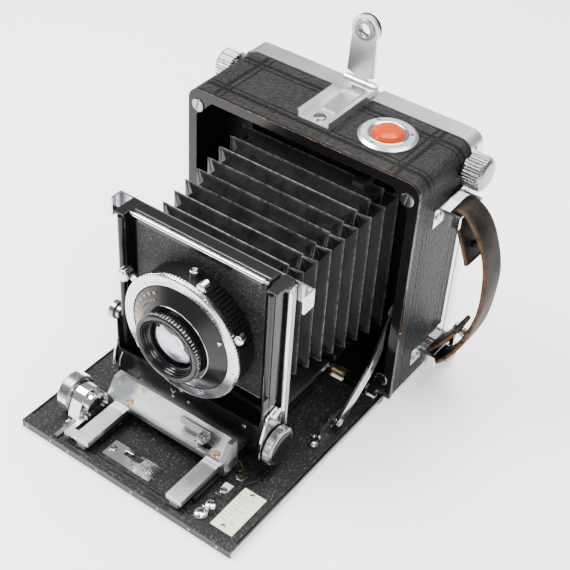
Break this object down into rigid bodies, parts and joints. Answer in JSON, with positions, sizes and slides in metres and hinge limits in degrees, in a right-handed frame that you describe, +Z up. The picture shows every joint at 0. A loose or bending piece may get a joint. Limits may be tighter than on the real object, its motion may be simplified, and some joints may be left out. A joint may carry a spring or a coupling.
{
  "type": "view camera",
  "caption": "Metal folding-bed view camera with leather-covered square body, bellows, focusing rails, rim-set shutter, hand strap and peep sight",
  "frame": {"origin": "centre of the mouth of the tripod socket in the underside of the body", "axes": "+Z up, -Y the way the lens looks, +X the side of the hand strap"},
  "size_m": [0.2258, 0.2467, 0.2226],
  "materials": {
    "black_gloss": "gloss",
    "black_satin": "satin",
    "black_crackle": "crackle",
    "body_leather": "grained",
    "bellows_leather": "matte",
    "strap_leather": "worn",
    "aluminium": "satin",
    "chrome": "polished",
    "nickel": "worn",
    "steel": "satin",
    "brass": "satin",
    "button_red": "gloss",
    "lens_glass": "polished",
    "screen_glass": "frosted"
  },
  "bodies": {
    "root": {"body_shell": "black_satin", "body_leather": "body_leather", "body_tripod_socket": "steel", "front_frame": "black_gloss", "bed_hinge_rod": "steel", "bellows_rear_frame": "black_satin", "bellows": "bellows_leather", "strut_studs": "steel", "sight_base": "aluminium", "button_bezel": "nickel", "body_screws": "nickel", "handle_brackets": "chrome", "handle_strap": "strap_leather"},
    "bed": {"bed_plate": "black_gloss", "bed_leather": "black_crackle", "bed_tripod_bush": "black_gloss", "latch_plate": "chrome", "rail_guides": "black_satin", "bed_screws": "nickel", "bed_brackets": "chrome"},
    "infinity_stop": {"infinity_stop": "chrome"},
    "focus_lock": {"focus_lock": "nickel"},
    "focus_knob": {"focus_knob": "nickel", "focus_shaft": "brass"},
    "rails": {"focus_rails": "aluminium"},
    "carriage": {"carriage_channel": "aluminium"},
    "carriage_lock": {"carriage_lock": "nickel"},
    "standard": {"standard_frame": "black_gloss", "guide_rods": "chrome"},
    "shift_knob": {"shift_knob": "nickel", "shift_screw": "brass"},
    "rise_lock": {"rise_lock": "nickel"},
    "lens_frame": {"lens_frame": "black_satin", "bridge_bar": "chrome", "lens_board": "black_crackle", "shutter_housing": "black_satin", "shutter_face": "black_gloss", "lens_barrel": "black_gloss", "front_glass": "lens_glass", "rear_lens_cell": "black_satin", "iris_blades": "steel"},
    "board_clip": {"board_clip": "black_gloss"},
    "speed_ring": {"speed_ring": "chrome"},
    "cocking_lever": {"cocking_lever": "chrome"},
    "release_lever": {"release_lever": "chrome"},
    "aperture_pointer": {"aperture_pointer": "chrome"},
    "strut_left": {"strut_left": "black_gloss"},
    "strut_right": {"strut_right": "black_gloss"},
    "sight": {"sight_arm": "aluminium", "sight_eyepiece": "brass"},
    "release_button": {"release_button": "button_red", "bed_catch": "steel"},
    "lock_knob_left_low": {"lock_knob_left_low": "nickel"},
    "lock_knob_left_high": {"lock_knob_left_high": "nickel"},
    "lock_knob_right_low": {"lock_knob_right_low": "nickel"},
    "lock_knob_right_high": {"lock_knob_right_high": "nickel"},
    "back": {"back_frame": "aluminium", "back_rods": "steel", "ground_glass": "screen_glass"},
    "hood": {"focusing_hood": "black_satin"}
  },
  "joints": [
    {"name": "bed_fold", "type": "hinge", "parent": "root", "child": "bed", "pos_m": [0, -0.041, 0.0065], "axis": [-1, 0, 0], "range_deg": [0, 12], "deforming": ["bellows"]},
    {"name": "strut_left_turn", "type": "hinge", "parent": "root", "child": "strut_left", "pos_m": [-0.076, -0.028, 0.0665], "axis": [-1, 0, 0], "range_deg": [0, 10.3]},
    {"name": "strut_right_turn", "type": "hinge", "parent": "root", "child": "strut_right", "pos_m": [0.076, -0.028, 0.0665], "axis": [-1, 0, 0], "range_deg": [0, 10.3]},
    {"name": "infinity_turn", "type": "hinge", "parent": "bed", "child": "infinity_stop", "pos_m": [0.054, -0.184, 0.008], "axis": [0, 0, -1], "range_deg": [0, 75]},
    {"name": "focus_lock_turn", "type": "hinge", "parent": "bed", "child": "focus_lock", "pos_m": [-0.0555, -0.1884, 0.007], "axis": [0, 0, 1], "range_deg": [0, 35]},
    {"name": "focus_slide", "type": "slide", "parent": "bed", "child": "rails", "axis": [0, -1, 0], "range_m": [0, 0.014]},
    {"name": "focus_knob_turn", "type": "hinge", "parent": "bed", "child": "focus_knob", "pos_m": [-0.065, -0.1713, 0.0185], "axis": [-1, 0, 0], "range_deg": [0, 134]},
    {"name": "standard_slide", "type": "slide", "parent": "rails", "child": "carriage", "axis": [0, -1, 0], "range_m": [-0.014, 0.004]},
    {"name": "carriage_lock_turn", "type": "hinge", "parent": "carriage", "child": "carriage_lock", "pos_m": [0.008, -0.15, 0.023], "axis": [0, -1, 0], "range_deg": [0, 25]},
    {"name": "shift_slide", "type": "slide", "parent": "carriage", "child": "standard", "axis": [1, 0, 0], "range_m": [-0.008, 0.008]},
    {"name": "shift_knob_turn", "type": "hinge", "parent": "standard", "child": "shift_knob", "pos_m": [0.062, -0.13, 0.0207], "axis": [1, 0, 0], "range_deg": [-965, 965]},
    {"name": "rise_slide", "type": "slide", "parent": "standard", "child": "lens_frame", "axis": [0, 0, 1], "range_m": [-0.004, 0.016]},
    {"name": "rise_lock_turn", "type": "hinge", "parent": "standard", "child": "rise_lock", "pos_m": [-0.062, -0.1304, 0.059], "axis": [-1, 0, 0], "range_deg": [0, 120]},
    {"name": "board_clip_slide", "type": "slide", "parent": "lens_frame", "child": "board_clip", "axis": [0, 0, 1], "range_m": [0, 0.004]},
    {"name": "speed_ring_turn", "type": "hinge", "parent": "lens_frame", "child": "speed_ring", "pos_m": [0, -0.145, 0.0844], "axis": [0, -1, 0], "range_deg": [-60, 60]},
    {"name": "cocking_turn", "type": "hinge", "parent": "lens_frame", "child": "cocking_lever", "pos_m": [0, -0.142, 0.0844], "axis": [0, -1, 0], "range_deg": [0, 30]},
    {"name": "release_turn", "type": "hinge", "parent": "lens_frame", "child": "release_lever", "pos_m": [0, -0.142, 0.0844], "axis": [0, -1, 0], "range_deg": [0, 10], "stiffness_Nm_per_rad": 0.1},
    {"name": "aperture_turn", "type": "hinge", "parent": "lens_frame", "child": "aperture_pointer", "pos_m": [0, -0.142, 0.0844], "axis": [0, -1, 0], "range_deg": [-40, 10]},
    {"name": "sight_fold", "type": "hinge", "parent": "root", "child": "sight", "pos_m": [0, 0.029, 0.1756], "axis": [1, 0, 0], "range_deg": [0, 80]},
    {"name": "button_press", "type": "slide", "parent": "root", "child": "release_button", "axis": [0, 0, -1], "range_m": [0, 0.002], "stiffness_N_per_m": 400},
    {"name": "back_slide", "type": "slide", "parent": "root", "child": "back", "axis": [0, 1, 0], "range_m": [0, 0.014]},
    {"name": "hood_open", "type": "hinge", "parent": "back", "child": "hood", "pos_m": [0, 0.04, 0.161], "axis": [1, 0, 0], "range_deg": [0, 120]},
    {"name": "lock_left_low_turn", "type": "hinge", "parent": "root", "child": "lock_knob_left_low", "pos_m": [-0.094, 0.0187, 0.0106], "axis": [-1, 0, 0], "range_deg": [0, 180]},
    {"name": "lock_left_high_turn", "type": "hinge", "parent": "root", "child": "lock_knob_left_high", "pos_m": [-0.094, 0.0187, 0.1563], "axis": [-1, 0, 0], "range_deg": [0, 180]},
    {"name": "lock_right_low_turn", "type": "hinge", "parent": "root", "child": "lock_knob_right_low", "pos_m": [0.094, 0.0187, 0.0106], "axis": [1, 0, 0], "range_deg": [0, 180]},
    {"name": "lock_right_high_turn", "type": "hinge", "parent": "root", "child": "lock_knob_right_high", "pos_m": [0.094, 0.0187, 0.1563], "axis": [1, 0, 0], "range_deg": [0, 180]}
  ],
  "couplings": [
    {"joint": "strut_left_turn", "follows": "bed_fold", "ratio": 0.85},
    {"joint": "strut_right_turn", "follows": "bed_fold", "ratio": 0.85},
    {"joint": "focus_knob_turn", "follows": "focus_slide", "rad_per_m": 166.67},
    {"joint": "shift_knob_turn", "follows": "shift_slide", "rad_per_m": 2094.4}
  ]
}
